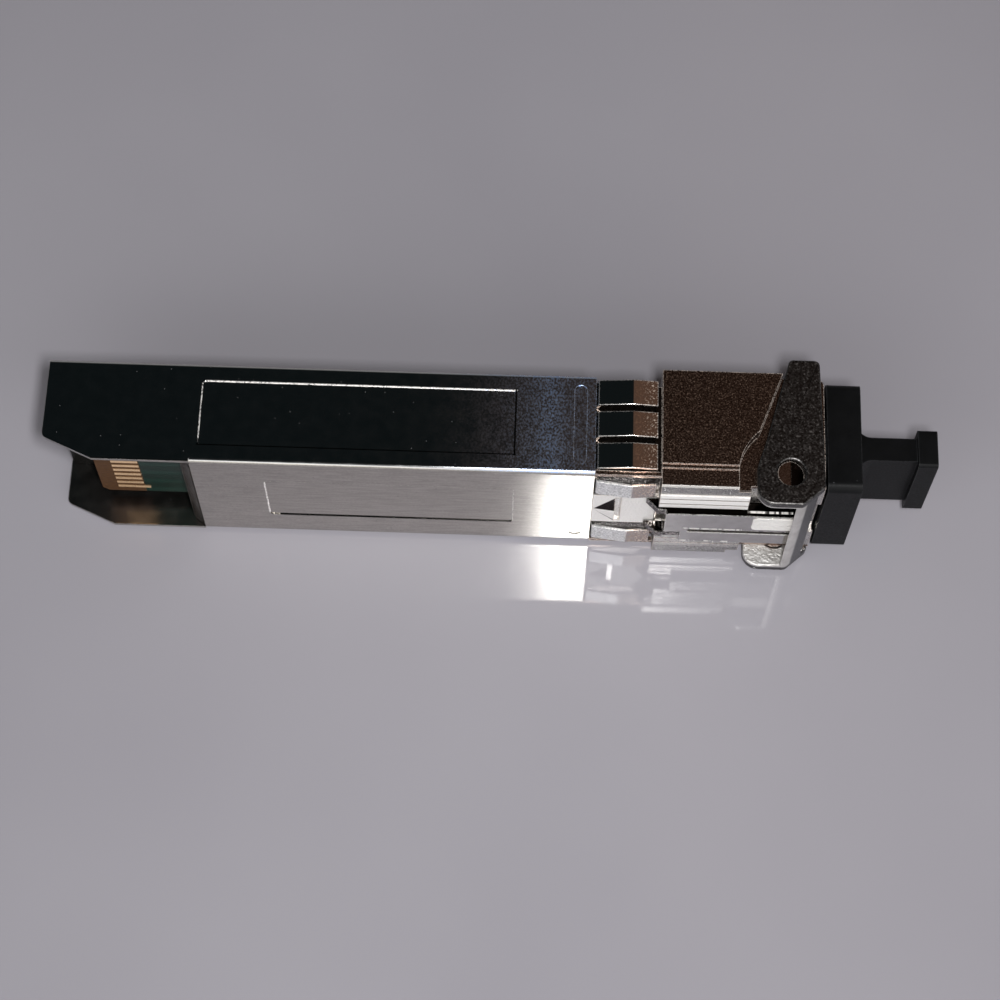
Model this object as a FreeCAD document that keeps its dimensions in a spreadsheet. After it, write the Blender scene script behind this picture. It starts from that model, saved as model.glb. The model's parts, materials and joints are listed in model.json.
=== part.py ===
import FreeCAD, Part
import math
import os
from types import SimpleNamespace

import Sketcher

# Small form-factor pluggable optical transceiver, lying on its side.
# X runs from the card edge at the rear to the fibre ports and dust plug at the front.
# Y runs from the latch side (negative) to the roof (positive), Z across the width.
# The origin is on the centre line, level with the shoulder of the latch boss.
# All lengths are in millimetres, angles in degrees.

SIZES = {
    # Folded sheet shell
    "shell_width": 13.4,
    "shell_height": 8.5,
    "shell_sheet": 0.3,
    "shell_bend": 0.37,
    "rear_reach": 45.0,
    "shell_setback": 1.8,
    "mouth_reach": 33.4,
    "mouth_lip_run": 0.95,
    "mouth_lip_rise": 0.75,
    "corner_run": 4.05,
    "corner_rise": 1.75,
    "corner_round": 0.6,
    "panel_depth": 0.07,
    "panel_round": 0.3,
    "band_round": 0.48,
    "panel_setback": 8.1,
    "side_panel_length": 24.7,
    "side_panel_height": 5.5,
    "base_panel_length": 19.7,
    "base_panel_width": 6.6,
    "band_setback": 2.5,
    "band_length": 1.0,
    "side_band_height": 6.8,
    "base_band_width": 11.0,
    # Spring-finger collar
    "collar_sheet": 0.2,
    "collar_depth": 3.0,
    "finger_reach": 3.05,
    "finger_knee": 0.2,
    "knee_rise": 0.5,
    "finger_crest": 1.1,
    "finger_bulge": 0.82,
    "finger_droop": 0.18,
    "finger_width": 2.15,
    "finger_pitch": 2.72,
    "base_finger_inner": 3.35,
    "base_finger_width": 2.3,
    "fit_gap": 0.02,
    # Casting: nose
    "stop_plane": 3.4,
    "nose_front": 16.2,
    "nose_width": 13.7,
    "nose_top": 4.9,
    "nose_base": 5.15,
    "nose_edge": 0.5,
    "ledge_level": 3.15,
    "ledge_gap": 0.33,
    "ledge_step": 0.13,
    "side_base": 4.9,
    "rail_outer": 5.0,
    "rail_drop": 0.12,
    "rail_groove_outer": 4.3,
    "rail_groove_inner": 3.4,
    "rail_groove_width": 0.14,
    "rail_groove_depth": 0.15,
    "rail_front": 10.4,
    "front_base": 4.5,
    "arm_pocket_depth": 0.95,
    "pocket_lobe_radius": 4.0,
    "pocket_lean_gap": 0.5,
    "pocket_top_gap": 0.15,
    "pocket_bulge_rise": 0.8,
    "pocket_bulge": 0.3,
    # Casting: ports
    "port_pitch": 6.25,
    "port_square": 4.7,
    "port_back": 5.2,
    "key_width": 2.4,
    "key_top": 3.9,
    # Casting: neck, latch boss and tray
    "neck_reach": 5.2,
    "neck_wall": 0.5,
    "seat_plane": 3.0,
    "boss_pad_width": 5.2,
    "corner_post": 0.38,
    "boss_length": 1.65,
    "boss_width": 4.6,
    "boss_crest_width": 1.65,
    "boss_height": 0.58,
    "boss_tip_share": 0.08,
    "boss_groove_length": 0.5,
    "boss_groove_depth": 0.25,
    "tray_floor": 1.2,
    "tray_end": 42.6,
    "rail_width": 1.4,
    "rail_end": 33.0,
    "shoulder_drop": 2.05,
    "shoulder_length": 2.2,
    "pedestal_length": 5.0,
    "pedestal_width": 5.0,
    # Release slide
    "channel_width": 5.6,
    "channel_floor": 3.7,
    "wing_groove_width": 6.6,
    "wing_groove_height": 0.6,
    "slide_gap": 0.1,
    "slide_travel": 0.6,
    "slide_front": 14.8,
    "spine_level": 5.7,
    "spine_step": 0.45,
    "spine_bar_start": 5.3,
    "spine_bar_edge": 0.85,
    "spine_groove_width": 0.6,
    "spine_groove_depth": 0.3,
    "spine_nose_chamfer": 0.5,
    "grip_length": 3.4,
    "grip_width": 2.25,
    "grip_inset": 0.2,
    "grip_round": 0.4,
    "grip_height": 0.1,
    "tine_width": 0.9,
    "tine_setback": 1.0,
    "tine_height": 1.0,
    # Return spring
    "spring_sheet": 0.15,
    "spring_height": 0.3,
    "spring_swing": 1.6,
    "spring_post_start": 6.0,
    "spring_post_length": 0.7,
    "spring_pocket_length": 5.2,
    # Bail
    "pivot_x": 13.43,
    "pivot_level": 3.6,
    "pivot_radius": 1.05,
    "pivot_fit": 0.06,
    "pivot_boss_height": 0.65,
    "pivot_ramp": 0.4,
    "arm_thickness": 0.9,
    "arm_gap": 0.05,
    "arm_top": 6.15,
    "arm_top_back": 13.4,
    "arm_top_front": 15.8,
    "arm_front": 16.1,
    "arm_toe_level": 4.76,
    "arm_heel_front": 14.35,
    "arm_lobe": 2.6,
    "arm_drop": 2.73,
    "arm_waist_level": 1.0,
    "arm_waist_back": 11.5,
    "arm_shoulder_level": 3.1,
    "arm_top_round": 0.45,
    "arm_toe_round": 0.5,
    "arm_heel_round": 1.3,
    "handle_length": 1.1,
    "handle_height": 0.8,
    "arm_sole_round": 0.6,
    "toe_plate": 0.55,
    "toe_setback": 0.4,
    # Dust plug
    "flange_gap": 0.2,
    "flange_length": 2.7,
    "flange_height": 9.3,
    "flange_rise": 0.125,
    "flange_width": 11.6,
    "flange_round": 0.7,
    "stem_end": 23.8,
    "stem_height": 2.0,
    "stem_width": 7.6,
    "stem_fillet": 1.1,
    "grip_bar_length": 1.55,
    "grip_bar_height": 3.2,
    "grip_bar_width": 8.6,
    "plug_edge": 0.3,
    "prong_gap": 0.15,
    "prong_length": 5.0,
    "prong_edge": 0.6,
    # Circuit board
    "board_rise": 2.25,
    "board_thickness": 1.0,
    "board_end": 41.8,
    "card_width": 9.2,
    "card_length": 8.2,
    "card_chamfer": 0.5,
    "board_side_gap": 0.48,
    "board_front": 7.0,
    "contact_pitch": 0.8,
    "contact_width": 0.42,
    "contact_length": 2.15,
    "contact_setback": 1.35,
    "ground_extra": 0.5,
    "contact_plating": 0.05,
    "screw_setback": 29.0,
    "screw_inset": 1.23,
    "screw_head_radius": 0.75,
    "screw_head_height": 0.5,
    "screw_radius": 0.4,
    "screw_length": 2.6,
    "driver_size": 4.0,
    "driver_setback": 15.0,
    "controller_size": 5.0,
    "controller_setback": 24.0,
    "chip_height": 0.85,
    "chip_chamfer": 0.25,
    "pad_thickness": 0.6,
    "capacitor_length": 1.0,
    "capacitor_width": 0.5,
    "capacitor_pitch": 1.3,
    "capacitor_setback": 21.5,
    # Optical sub-assemblies
    "barrel_radius": 1.48,
    "barrel_reach": 9.6,
    "seat_fit": 0.04,
    "ferrule_radius": 0.63,
    "split_sleeve_wall": 0.25,
    "split_sleeve_length": 5.2,
    "split_gap": 0.3,
    "seat_flange_radius": 2.3,
    "seat_flange_length": 1.0,
    "waist_radius": 1.7,
    "waist_length": 0.9,
    "optic_body_radius": 2.2,
    "optic_body_length": 2.4,
    "can_radius": 2.35,
    "can_length": 1.0,
    "can_cap_radius": 1.8,
    "can_cap_length": 1.0,
    "flex_sheet": 0.15,
    "flex_width": 3.4,
    "flex_lap": 1.8,
    "retainer_gap": 0.05,
}

CONTACTS_PER_SIDE = 10
SPRING_BENDS = 6
CAPACITORS = 4


class Size:
    """A number together with the sheet expression that gives it."""

    def __init__(self, value, text):
        self.value = value
        self.text = text

    def __add__(self, other):
        other = as_size(other)
        return Size(self.value + other.value, f"({self.text} + {other.text})")

    def __sub__(self, other):
        other = as_size(other)
        return Size(self.value - other.value, f"({self.text} - {other.text})")

    def __mul__(self, other):
        other = as_size(other)
        return Size(self.value * other.value, f"({self.text} * {other.text})")

    def __truediv__(self, other):
        other = as_size(other)
        return Size(self.value / other.value, f"({self.text} / {other.text})")

    def __neg__(self):
        return Size(-self.value, f"(0 - {self.text})")


def as_size(number):
    """Return a plain number as a Size, and a Size as it is."""
    if isinstance(number, Size):
        return number
    return Size(float(number), f"({float(number)})")


doc = FreeCAD.newDocument("optical_transceiver")
sheet = doc.addObject("Spreadsheet::Sheet", "dims")
for row, (alias, value) in enumerate(SIZES.items(), start=1):
    sheet.set(f"A{row}", alias)
    sheet.set(f"B{row}", str(value))
    sheet.setAlias(f"B{row}", alias)
doc.recompute()

d = SimpleNamespace(**{alias: Size(value, f"dims.{alias}") for alias, value in SIZES.items()})
ZERO = as_size(0)
# How far a cutting profile reaches past the material it cuts
CLEAR = as_size(1)
# How far a quarter circle of radius 1 stands over its chord
QUARTER_BULGE = 1 - math.sqrt(0.5)
PLANES = {"xy": "XY_Plane", "xz": "XZ_Plane", "yz": "YZ_Plane"}
AXES = "xyz"
parts = {}


def bind(feature, name, size):
    """Tie a property of a feature to an expression of the sheet."""
    feature.setExpression(name, as_size(size).text)


def new_body(label):
    """Start the body of a sub-part and register it under its label."""
    body = doc.addObject("PartDesign::Body", label)
    body.Label = label
    parts[label] = body
    return body


def pin_coordinate(sketch, kind, geometry, position, size):
    """Fix one coordinate of a sketch point to an expression."""
    size = as_size(size)
    index = sketch.addConstraint(Sketcher.Constraint(kind, geometry, position, size.value))
    sketch.setExpression(f"Constraints[{index}]", size.text)


def pin_radius(sketch, geometry, radius):
    """Fix the radius of a sketch circle or arc to an expression."""
    index = sketch.addConstraint(Sketcher.Constraint("Radius", geometry, radius.value))
    sketch.setExpression(f"Constraints[{index}]", radius.text)


def arc_radius(corner, following, bulge):
    """Radius of the arc that stands bulge high over the chord of two corners."""
    run = following[0] - corner[0]
    rise = following[1] - corner[1]
    return (run * run + rise * rise) / (bulge * 8) + bulge / 2


def draw_loop(sketch, corners):
    """Draw a closed outline; a corner's third value bulges the edge after it to its left."""
    corners = [tuple(as_size(part) for part in corner) for corner in corners]
    points = [FreeCAD.Vector(corner[0].value, corner[1].value, 0) for corner in corners]
    edges = []
    starts = []
    for index, corner in enumerate(corners):
        here = points[index]
        there = points[(index + 1) % len(points)]
        geometry = Part.LineSegment(here, there)
        start = 1
        if len(corner) == 3:
            along = (there - here).normalize()
            left = FreeCAD.Vector(-along.y, along.x, 0)
            middle = (here + there) / 2 + left * corner[2].value
            # Sketch arcs run anticlockwise, so one that bulges left is drawn from its far end.
            start = 2 if corner[2].value > 0 else 1
            ends = (there, here) if start == 2 else (here, there)
            geometry = Part.Arc(ends[0], middle, ends[1])
        edges.append(sketch.addGeometry(geometry, False))
        starts.append(start)
    for index, corner in enumerate(corners):
        after = (index + 1) % len(corners)
        end = 1 if starts[index] == 2 else 2
        joint = (edges[index], end, edges[after], starts[after])
        sketch.addConstraint(Sketcher.Constraint("Coincident", *joint))
        pin_coordinate(sketch, "DistanceX", edges[index], starts[index], corner[0])
        pin_coordinate(sketch, "DistanceY", edges[index], starts[index], corner[1])
        if len(corner) == 3:
            bulge = corner[2] if corner[2].value > 0 else -corner[2]
            pin_radius(sketch, edges[index], arc_radius(corner, corners[after], bulge))


def draw_circle(sketch, centre_a, centre_b, radius):
    """Draw a circle whose centre and radius follow the sheet."""
    centre = FreeCAD.Vector(as_size(centre_a).value, as_size(centre_b).value, 0)
    circle = sketch.addGeometry(Part.Circle(centre, FreeCAD.Vector(0, 0, 1), radius.value), False)
    pin_coordinate(sketch, "DistanceX", circle, 3, centre_a)
    pin_coordinate(sketch, "DistanceY", circle, 3, centre_b)
    pin_radius(sketch, circle, radius)


def new_sketch(body, view, level):
    """Open a sketch on one of the body's own planes, moved to a level along its third axis."""
    sketch = body.newObject("Sketcher::SketchObject", f"{body.Name}_sketch")
    plane = next(item for item in body.Origin.OriginFeatures if item.Role == PLANES[view])
    sketch.AttachmentSupport = (plane, [""])
    sketch.MapMode = "FlatFace"
    # The XZ plane looks along negative Y, so its levels count the other way.
    bind(sketch, "AttachmentOffset.Base.z", -as_size(level) if view == "xz" else level)
    return sketch


def draw(sketch, outlines):
    """Draw every outline: a list of corners, or a circle as centre and radius."""
    for outline in outlines:
        if isinstance(outline, list):
            draw_loop(sketch, outline)
        else:
            draw_circle(sketch, *outline)


def extrude(kind, body, view, outlines, low, high):
    """Pad or pocket the outlines between two levels of the view's third axis."""
    low, high = as_size(low), as_size(high)
    sketch = new_sketch(body, view, high if view == "xz" else low)
    draw(sketch, outlines)
    feature = body.newObject(f"PartDesign::{kind}", f"{body.Name}_{kind.lower()}")
    feature.Profile = sketch
    if kind == "Pocket":
        feature.Reversed = True
    bind(feature, "Length", high - low)
    return feature


def pad(body, view, outlines, low, high):
    """Add material between two levels."""
    return extrude("Pad", body, view, outlines, low, high)


def pocket(body, view, outlines, low, high):
    """Cut material away between two levels."""
    return extrude("Pocket", body, view, outlines, low, high)


def mirrored(side, low, high):
    """Return two levels on one side of the middle, lowest first."""
    return (low, high) if side > 0 else (-as_size(high), -as_size(low))


def rectangle(low_a, high_a, low_b, high_b):
    """Return the corners of an upright rectangle."""
    return [(low_a, low_b), (high_a, low_b), (high_a, high_b), (low_a, high_b)]


def strip(low_a, high_a, size_b):
    """Return the corners of a rectangle that lies evenly about the first axis."""
    return rectangle(low_a, high_a, -size_b / 2, size_b / 2)


def rounded(low_a, high_a, size_b, radius):
    """Return a strip's outline with round corners."""
    half = size_b / 2
    bulge = -radius * QUARTER_BULGE
    return [
        (low_a + radius, -half),
        (high_a - radius, -half, bulge),
        (high_a, -half + radius),
        (high_a, half - radius, bulge),
        (high_a - radius, half),
        (low_a + radius, half, bulge),
        (low_a, half - radius),
        (low_a, -half + radius, bulge),
    ]


def centred(size_a, size_b):
    """Return the corners of a rectangle about the origin."""
    return strip(-size_a / 2, size_a / 2, size_b)


def revolve(body, outline, level):
    """Turn an outline about the line through its sketch's own X axis, at a level of Z."""
    sketch = new_sketch(body, "xy", level)
    draw(sketch, [outline])
    feature = body.newObject("PartDesign::Revolution", f"{body.Name}_turned")
    feature.Profile = sketch
    feature.ReferenceAxis = (sketch, ["H_Axis"])
    feature.Angle = 360
    return feature


def edges_along(shape, axis, spots):
    """Name the straight edges that run along an axis through any of the given spots."""
    others = [index for index, letter in enumerate(AXES) if letter != axis]
    spots = [tuple(as_size(part).value for part in spot) for spot in spots]
    names = []
    for number, edge in enumerate(shape.Edges, start=1):
        if len(edge.Vertexes) != 2 or edge.Curve.TypeId != "Part::GeomLine":
            continue
        first, last = (vertex.Point for vertex in edge.Vertexes)
        if any(abs(first[other] - last[other]) > 1e-6 for other in others):
            continue
        for spot in spots:
            if all(abs(first[other] - spot[place]) < 1e-4 for place, other in enumerate(others)):
                names.append(f"Edge{number}")
    return names


def soften(kind, body, axis, spots, amount):
    """Fillet or chamfer the edges along an axis at the given spots."""
    doc.recompute()
    base = body.Tip
    names = edges_along(base.Shape, axis, spots)
    if not names:
        raise RuntimeError(f"{body.Label} has no edge at {[(a.value, b.value) for a, b in spots]}")
    feature = body.newObject(f"PartDesign::{kind}", f"{body.Name}_{kind.lower()}")
    feature.Base = (base, names)
    bind(feature, "Radius" if kind == "Fillet" else "Size", amount)
    return feature


def four_corners(half_a, half_b):
    """Return the four corners of a rectangle about the origin."""
    return [(half_a, half_b), (half_a, -half_b), (-half_a, half_b), (-half_a, -half_b)]


# Levels that several sub-parts share
shell_side = d.shell_width / 2
shell_base = -d.shell_height / 2
shell_inner_side = shell_side - d.shell_sheet
shell_inner_top = d.shell_height / 2 - d.shell_sheet
collar_side = shell_inner_side - d.fit_gap
collar_top = shell_inner_top - d.fit_gap
neck_side = collar_side - d.collar_sheet - d.fit_gap
neck_top = collar_top - d.collar_sheet - d.fit_gap
board_under = shell_base + d.board_rise
board_over = board_under + d.board_thickness
tray_side = shell_inner_side - d.fit_gap
tray_top = shell_inner_top - d.fit_gap
tray_under = tray_top - d.tray_floor
board_side = tray_side - d.board_side_gap
screw_offset = tray_side - d.screw_inset
port_offset = d.port_pitch / 2
nose_side = d.nose_width / 2
pocket_side = nose_side - d.arm_pocket_depth
pivot_y = -d.pivot_level
spring_start = d.spring_post_start + d.spring_post_length
spring_end = spring_start + d.spring_pocket_length
plug_back = d.nose_front + d.flange_gap
seat_back = d.seat_plane - d.seat_flange_length
waist_back = seat_back - d.waist_length
optic_back = waist_back - d.optic_body_length
can_back = optic_back - d.can_length


def make_sleeve():
    """Folded sheet shell: a closed tube in front, a hood with no base over the card edge."""
    body = new_body("sleeve")
    outer = centred(d.shell_height, d.shell_width)
    inner_height = shell_inner_top * 2
    inner_width = shell_inner_side * 2
    inner = centred(inner_height, inner_width)
    pad(body, "yz", [outer, inner], -d.mouth_reach, -d.shell_setback)
    shell_top = d.shell_height / 2
    inner_bend = d.shell_bend - d.shell_sheet
    soften("Fillet", body, "x", four_corners(shell_top, shell_side), d.shell_bend)
    soften("Fillet", body, "x", four_corners(shell_inner_top, shell_inner_side), inner_bend)
    # The hood's side walls end square, and only its roof is bent.
    bulge = d.shell_bend * QUARTER_BULGE
    inner_bulge = inner_bend * QUARTER_BULGE
    hood = [
        (shell_base, -shell_side),
        (shell_top - d.shell_bend, -shell_side, -bulge),
        (shell_top, -shell_side + d.shell_bend),
        (shell_top, shell_side - d.shell_bend, -bulge),
        (shell_top - d.shell_bend, shell_side),
        (shell_base, shell_side),
        (shell_base, shell_inner_side),
        (shell_inner_top - inner_bend, shell_inner_side, inner_bulge),
        (shell_inner_top, shell_inner_side - inner_bend),
        (shell_inner_top, -shell_inner_side + inner_bend, inner_bulge),
        (shell_inner_top - inner_bend, -shell_inner_side),
        (shell_base, -shell_inner_side),
    ]
    pad(body, "yz", [hood], -d.rear_reach, -d.mouth_reach)
    # Slanted lower corners of the two side walls at the rear
    corner = [
        (-d.rear_reach - CLEAR, shell_base - CLEAR),
        (-d.rear_reach + d.corner_run, shell_base - CLEAR),
        (-d.rear_reach + d.corner_run, shell_base),
        (-d.rear_reach, shell_base + d.corner_rise),
        (-d.rear_reach - CLEAR, shell_base + d.corner_rise),
    ]
    pocket(body, "xy", [corner], -shell_side - CLEAR, shell_side + CLEAR)
    soften("Fillet", body, "z", [(-d.rear_reach, shell_base + d.corner_rise)], d.corner_round)
    # Lip of the base, bent inwards at the mouth
    lip_tip = -d.mouth_reach - d.mouth_lip_run
    lip = [
        (-d.mouth_reach, shell_base),
        (-d.mouth_reach, shell_base + d.shell_sheet),
        (lip_tip, shell_base + d.shell_sheet + d.mouth_lip_rise),
        (lip_tip, shell_base + d.mouth_lip_rise),
    ]
    lip_side = shell_inner_side - d.shell_bend
    pad(body, "xy", [lip], -lip_side, lip_side)
    # Shallow pressed panels and bands in both sides and the base
    panel_front = -d.panel_setback
    band_front = -d.band_setback
    side_marks = [
        rounded(panel_front - d.side_panel_length, panel_front, d.side_panel_height, d.panel_round),
        rounded(band_front - d.band_length, band_front, d.side_band_height, d.band_round),
    ]
    for side in (1, -1):
        pocket(body, "xy", side_marks, *mirrored(side, shell_side - d.panel_depth, shell_side + CLEAR))
    base_marks = [
        rounded(panel_front - d.base_panel_length, panel_front, d.base_panel_width, d.panel_round),
        rounded(band_front - d.band_length, band_front, d.base_band_width, d.band_round),
    ]
    pocket(body, "xz", base_marks, shell_base - CLEAR, shell_base + d.panel_depth)


def finger_profile(level):
    """Bent strip of one spring finger: a knee at the shell's edge, a crest and a drooping tip."""
    root = -d.shell_setback
    knee = root + d.finger_knee
    crest_level = level + d.finger_bulge
    tip_level = crest_level - d.finger_droop
    sheet = d.collar_sheet
    return [
        (root, level),
        (knee, level + d.knee_rise),
        (d.finger_crest, crest_level),
        (d.finger_reach, tip_level),
        (d.finger_reach, tip_level - sheet),
        (d.finger_crest, crest_level - sheet),
        (knee + sheet, level + d.knee_rise - sheet),
        (root + sheet, level - sheet),
        (root, level - sheet),
    ]


def flipped(outline):
    """Mirror an outline across its first axis."""
    return [(along, *(-as_size(part) for part in others)) for along, *others in outline]


def make_collar():
    """Spring-finger collar: a ring under the shell's front edge and outward fingers."""
    body = new_body("emi_collar")
    ring_back = -d.shell_setback - d.collar_depth
    outer = centred(collar_top * 2, collar_side * 2)
    inner_top = collar_top - d.collar_sheet
    inner_side = collar_side - d.collar_sheet
    inner = centred(inner_top * 2, inner_side * 2)
    pad(body, "yz", [outer, inner], ring_back, -d.shell_setback)
    soften("Fillet", body, "x", four_corners(collar_top, collar_side), d.shell_bend - d.shell_sheet)
    # Three fingers on each side and four on the roof, spaced by the same pitch
    for count, view, level in ((3, "xz", collar_side), (4, "xy", collar_top)):
        for number in range(count):
            middle = d.finger_pitch * (number - (count - 1) / 2)
            low = middle - d.finger_width / 2
            high = middle + d.finger_width / 2
            pad(body, view, [finger_profile(level)], low, high)
            if view == "xz":
                pad(body, view, [flipped(finger_profile(level))], low, high)
    # Two fingers on the latch side, one each side of the boss
    for side in (1, -1):
        inner_edge = d.base_finger_inner
        levels = mirrored(side, inner_edge, inner_edge + d.base_finger_width)
        pad(body, "xy", [flipped(finger_profile(collar_top))], *levels)


def nose_section():
    """Section of the nose: plain sides with a double ledge low down, and a raised rail on each side."""
    middle_side = nose_side - d.ledge_step
    low_side = middle_side - d.ledge_step
    rail_top = -d.nose_base + d.rail_drop
    half = [
        (d.nose_top, nose_side),
        (-d.ledge_level, nose_side),
        (-d.ledge_level, middle_side),
        (-d.ledge_level - d.ledge_gap, middle_side),
        (-d.ledge_level - d.ledge_gap, low_side),
        (-d.side_base, low_side),
        (rail_top, low_side - (d.nose_base - d.rail_drop - d.side_base)),
        (rail_top, d.rail_outer + d.rail_drop),
        (-d.nose_base, d.rail_outer),
    ]
    return half + [(level, -side) for level, side in reversed(half)]


def arm_back_line():
    """Two points of the arm's leaning back edge, waist first."""
    waist = (d.arm_waist_back, -d.arm_waist_level)
    top = (d.arm_top_back, d.arm_top)
    return waist, top


def make_nose():
    """Die-casting: nose with two ports, neck with the latch boss, and the tray inside the shell."""
    body = new_body("nose_housing")
    pad(body, "yz", [nose_section()], d.stop_plane, d.nose_front)
    front_edge = (d.nose_front, d.nose_top)
    soften("Fillet", body, "z", [front_edge], d.nose_edge)
    # The base steps up in front of the rails
    under = rectangle(d.rail_front, d.nose_front + CLEAR, -d.nose_base - CLEAR, -d.front_base)
    pocket(body, "xy", [under], -nose_side - CLEAR, nose_side + CLEAR)
    for line in (d.rail_groove_outer, d.rail_groove_inner):
        for side in (1, -1):
            across = mirrored(side, line, line + d.rail_groove_width)
            groove = rectangle(d.stop_plane - CLEAR, d.rail_front + CLEAR, *across)
            pocket(body, "xz", [groove], -d.nose_base - CLEAR, -d.nose_base + d.rail_groove_depth)
    # Side pockets for the bail's arms, with room for the lobe to turn
    waist, top = arm_back_line()
    lobe_back = d.pivot_x - d.pocket_lobe_radius
    front = d.nose_front + CLEAR
    arm_pocket = [
        (front, d.nose_top + CLEAR),
        (top[0] - d.pocket_top_gap, d.nose_top + CLEAR),
        (waist[0] - d.pocket_lean_gap, waist[1] + d.pocket_bulge_rise, -d.pocket_bulge),
        (lobe_back, -d.arm_shoulder_level),
        (lobe_back, -d.nose_base - CLEAR),
        (front, -d.nose_base - CLEAR),
    ]
    for side in (1, -1):
        pocket(body, "xy", [arm_pocket], *mirrored(side, pocket_side, nose_side + CLEAR))
    make_pivot_bosses(body)
    make_channel(body)
    make_neck(body)
    make_tray(body)
    make_ports(body)


def make_pivot_bosses(body):
    """Stub pivots in the side pockets, each with a slanted lead-in half."""
    circle = (d.pivot_x, pivot_y, d.pivot_radius)
    tip = pocket_side + d.pivot_boss_height
    for side in (1, -1):
        pad(body, "xy", [circle], *mirrored(side, pocket_side, tip))
        ramp = [
            (d.pivot_x, tip),
            (d.pivot_x + d.pivot_radius, tip - d.pivot_ramp),
            (d.pivot_x + d.pivot_radius + CLEAR, tip - d.pivot_ramp),
            (d.pivot_x + d.pivot_radius + CLEAR, tip + CLEAR),
            (d.pivot_x, tip + CLEAR),
        ]
        outline = ramp if side > 0 else flipped(ramp)
        pocket(body, "xz", [outline], pivot_y - d.pivot_radius - CLEAR, pivot_y + d.pivot_radius + CLEAR)


def make_channel(body):
    """Undercut channel under the nose for the release slide, with the spring's post."""
    groove_low = -d.channel_floor - d.wing_groove_height
    mouth = d.channel_width / 2
    groove = d.wing_groove_width / 2
    channel = [
        (-d.nose_base - CLEAR, -mouth),
        (groove_low, -mouth),
        (groove_low, -groove),
        (-d.channel_floor, -groove),
        (-d.channel_floor, groove),
        (groove_low, groove),
        (groove_low, mouth),
        (-d.nose_base - CLEAR, mouth),
    ]
    pocket(body, "yz", [channel], d.stop_plane, d.nose_front + CLEAR)
    post = strip(d.spring_post_start, spring_start, d.spring_swing)
    pad(body, "xz", [post], -d.channel_floor - d.spring_height, -d.channel_floor)


def boss_section(share):
    """Section across the latch boss, a drafted ridge on the base, at a share of its full size."""
    foot = d.boss_width * share / 2
    crest = d.boss_crest_width * share / 2
    level = shell_base - d.boss_height * share
    return [(shell_base, -foot), (shell_base, foot), (level, crest), (level, -crest)]


def make_neck(body):
    """Neck that carries the collar, with the pad and wedge of the latch boss on its base."""
    pad(body, "yz", [centred(neck_top * 2, neck_side * 2)], -d.neck_reach, d.stop_plane)
    boss_pad = strip(-d.shell_setback + d.fit_gap, d.stop_plane, d.boss_pad_width)
    pad(body, "xz", [boss_pad], shell_base, -neck_top)
    # Posts fill the shell's two lower corners between the fingers.
    for side in (1, -1):
        across = mirrored(side, shell_side - d.corner_post, shell_side)
        post = rectangle(shell_base, shell_base + d.corner_post, *across)
        pad(body, "yz", [post], -d.shell_setback + d.fit_gap, d.stop_plane)
    groove = strip(ZERO, d.boss_groove_length, d.boss_width)
    pocket(body, "xz", [groove], shell_base - CLEAR, shell_base + d.boss_groove_depth)
    # The boss is a wedge that rises and widens from its tip to an upright shoulder.
    tip = new_sketch(body, "yz", -d.boss_length)
    draw(tip, [boss_section(d.boss_tip_share)])
    shoulder = new_sketch(body, "yz", ZERO)
    draw(shoulder, [boss_section(as_size(1))])
    wedge = body.newObject("PartDesign::AdditiveLoft", "latch_boss")
    wedge.Profile = tip
    wedge.Sections = [shoulder]
    wedge.Ruled = True
    # Room for the optical sub-assemblies, open to the rear
    cavity = centred((neck_top - d.neck_wall) * 2, (neck_side - d.neck_wall) * 2)
    pocket(body, "yz", [cavity], -d.neck_reach - CLEAR, d.seat_plane)


def screw_holes():
    """Circles of the two screws' holes, with clearance."""
    radius = d.screw_radius + d.fit_gap
    return [(-d.screw_setback, screw_offset * side, radius) for side in (1, -1)]


def make_tray(body):
    """Tray under the shell's roof: floor, rails for the board, rear shoulder and chip pedestal."""
    tray_back = -d.tray_end - d.shoulder_length
    floor = rectangle(tray_under, tray_top, -tray_side, tray_side)
    pad(body, "yz", [floor], tray_back, -d.neck_reach)
    # The floor's upper edges clear the shell's bends.
    floor_edges = [(tray_top, tray_side), (tray_top, -tray_side)]
    soften("Fillet", body, "x", floor_edges, d.shell_bend - d.shell_sheet)
    for side in (1, -1):
        rail = rectangle(board_over, tray_under, *mirrored(side, tray_side - d.rail_width, tray_side))
        pad(body, "yz", [rail], -d.rail_end, -d.neck_reach)
    # Behind the card edge a shoulder closes the gap under the roof.
    shoulder = rectangle(board_over + d.shoulder_drop, tray_under, -tray_side, tray_side)
    pad(body, "yz", [shoulder], tray_back, -d.tray_end)
    pad_level = board_over + d.chip_height + d.pad_thickness
    pedestal_back = -d.driver_setback - d.pedestal_length / 2
    pedestal = strip(pedestal_back, pedestal_back + d.pedestal_length, d.pedestal_width)
    pad(body, "xz", [pedestal], pad_level, tray_under)
    pocket(body, "xz", screw_holes(), board_over, board_under + d.screw_length + d.fit_gap)


def make_ports(body):
    """Two fibre ports with key slots, and the bores that centre the optical barrels."""
    half = d.port_square / 2
    for side in (1, -1):
        middle = port_offset * side
        square = [
            (-half, middle - half),
            (half, middle - half),
            (half, middle - d.key_width / 2),
            (d.key_top, middle - d.key_width / 2),
            (d.key_top, middle + d.key_width / 2),
            (half, middle + d.key_width / 2),
            (half, middle + half),
            (-half, middle + half),
        ]
        pocket(body, "yz", [square], d.port_back, d.nose_front + CLEAR)
        bore = (ZERO, middle, d.barrel_radius + d.seat_fit)
        pocket(body, "yz", [bore], d.seat_plane - d.fit_gap, d.port_back + d.fit_gap)


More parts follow.
